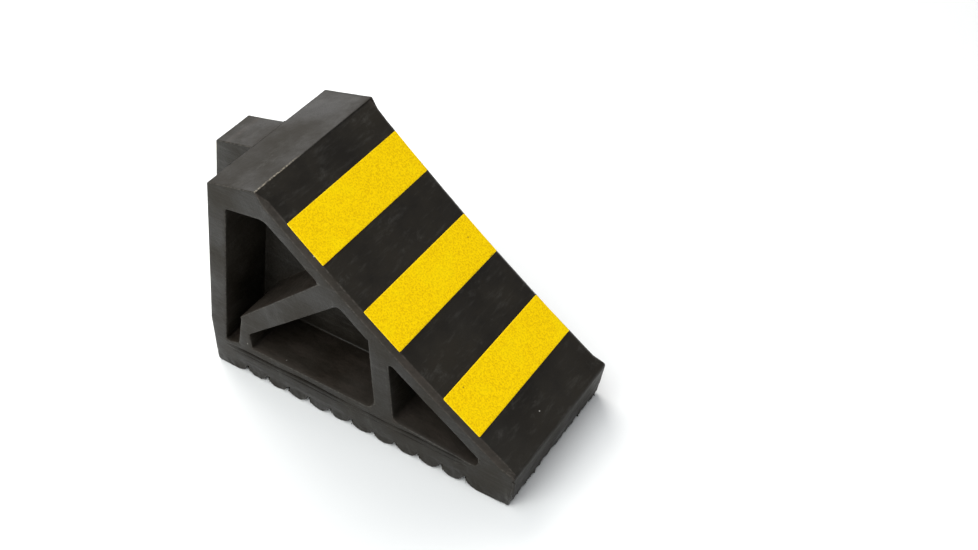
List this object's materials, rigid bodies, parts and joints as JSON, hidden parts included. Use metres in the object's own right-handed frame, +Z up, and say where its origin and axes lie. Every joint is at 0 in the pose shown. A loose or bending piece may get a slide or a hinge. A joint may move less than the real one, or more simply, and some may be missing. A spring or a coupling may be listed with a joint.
{
  "type": "wheel chock",
  "caption": "Moulded rubber wheel chock with a curved wheel face, lugged base, side pockets, carrying handle with finger holes and yellow reflective strips.",
  "frame": {"origin": "on the ground, under the middle of the whole chock's box", "axes": "+X from the handle and heel to the toe, +Y across the width, +Z up; the wheel face looks along +X and +Z"},
  "size_m": [0.2474, 0.1, 0.1614],
  "materials": {
    "rubber": "matte",
    "reflective_tape": "satin"
  },
  "bodies": {
    "root": {"chock_body": "rubber", "face_stripe_upper": "reflective_tape", "face_stripe_middle": "reflective_tape", "face_stripe_lower": "reflective_tape", "handle_stripe": "reflective_tape"}
  },
  "joints": []
}
